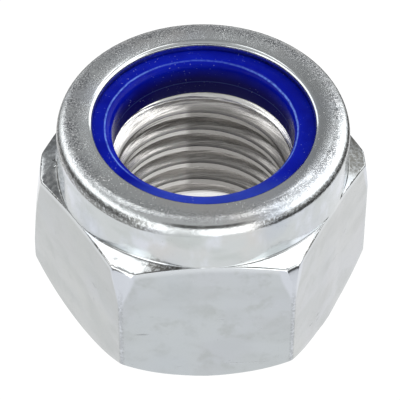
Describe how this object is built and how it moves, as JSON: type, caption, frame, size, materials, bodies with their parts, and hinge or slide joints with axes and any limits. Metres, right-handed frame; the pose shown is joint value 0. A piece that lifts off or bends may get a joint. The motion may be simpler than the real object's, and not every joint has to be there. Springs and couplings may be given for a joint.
{
  "type": "nylon insert lock nut",
  "caption": "Hexagon lock nut with a round collar whose rolled lip holds a nylon ring above a through thread.",
  "frame": {"origin": "middle of the bearing face, on the thread's axis", "axes": "+Z along the thread's axis from the bearing face towards the lip, +X through an upright edge of the hexagon, +Y square to a flat"},
  "size_m": [0.0344, 0.03, 0.0224],
  "materials": {
    "zinc_plated_steel": "satin zinc plate over cold-formed steel",
    "blue_nylon": "glossy moulded nylon"
  },
  "bodies": {
    "root": {"nut_body": "zinc_plated_steel", "nylon_ring": "blue_nylon"}
  },
  "joints": []
}
